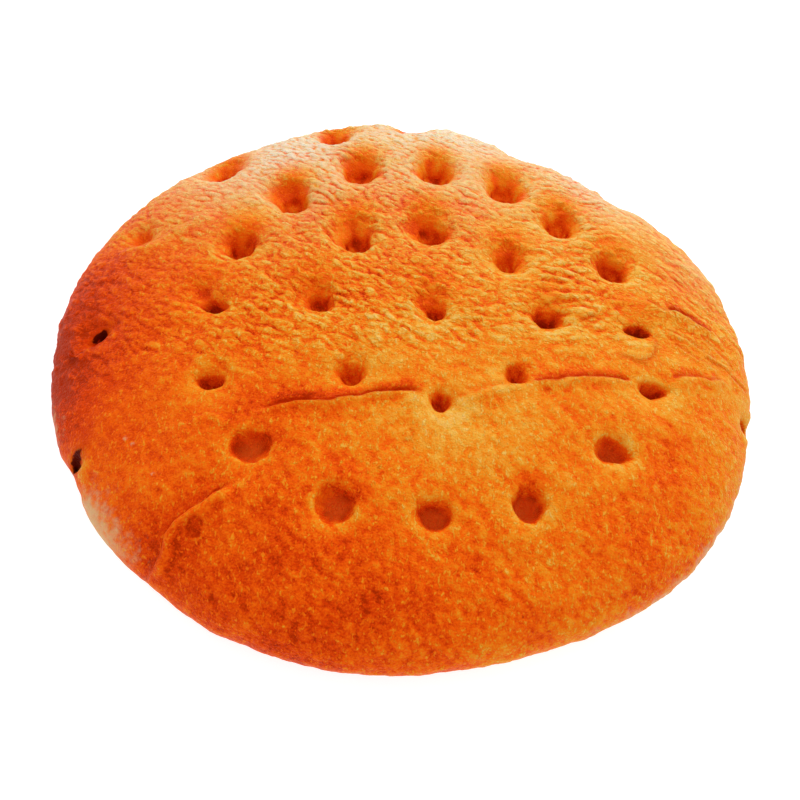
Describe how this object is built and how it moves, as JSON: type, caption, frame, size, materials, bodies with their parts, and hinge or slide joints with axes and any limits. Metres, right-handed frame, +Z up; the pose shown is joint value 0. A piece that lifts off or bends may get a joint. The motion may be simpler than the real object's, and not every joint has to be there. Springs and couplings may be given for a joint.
{
  "type": "focaccia",
  "caption": "Round docked focaccia: a low domed loaf on a flat base, its crust pressed with rings of holes and creased across the top.",
  "frame": {"origin": "middle of the loaf's outline, seen from above, on the plane of its flat base", "axes": "+Z up through the docked top; +Y towards the back of the loaf, where the hollows round the holes are deepest; +X to the right"},
  "size_m": [0.2044, 0.1984, 0.0283],
  "materials": {
    "crust": "baked crust, satin"
  },
  "bodies": {
    "root": {"focaccia": "crust"}
  },
  "joints": []
}
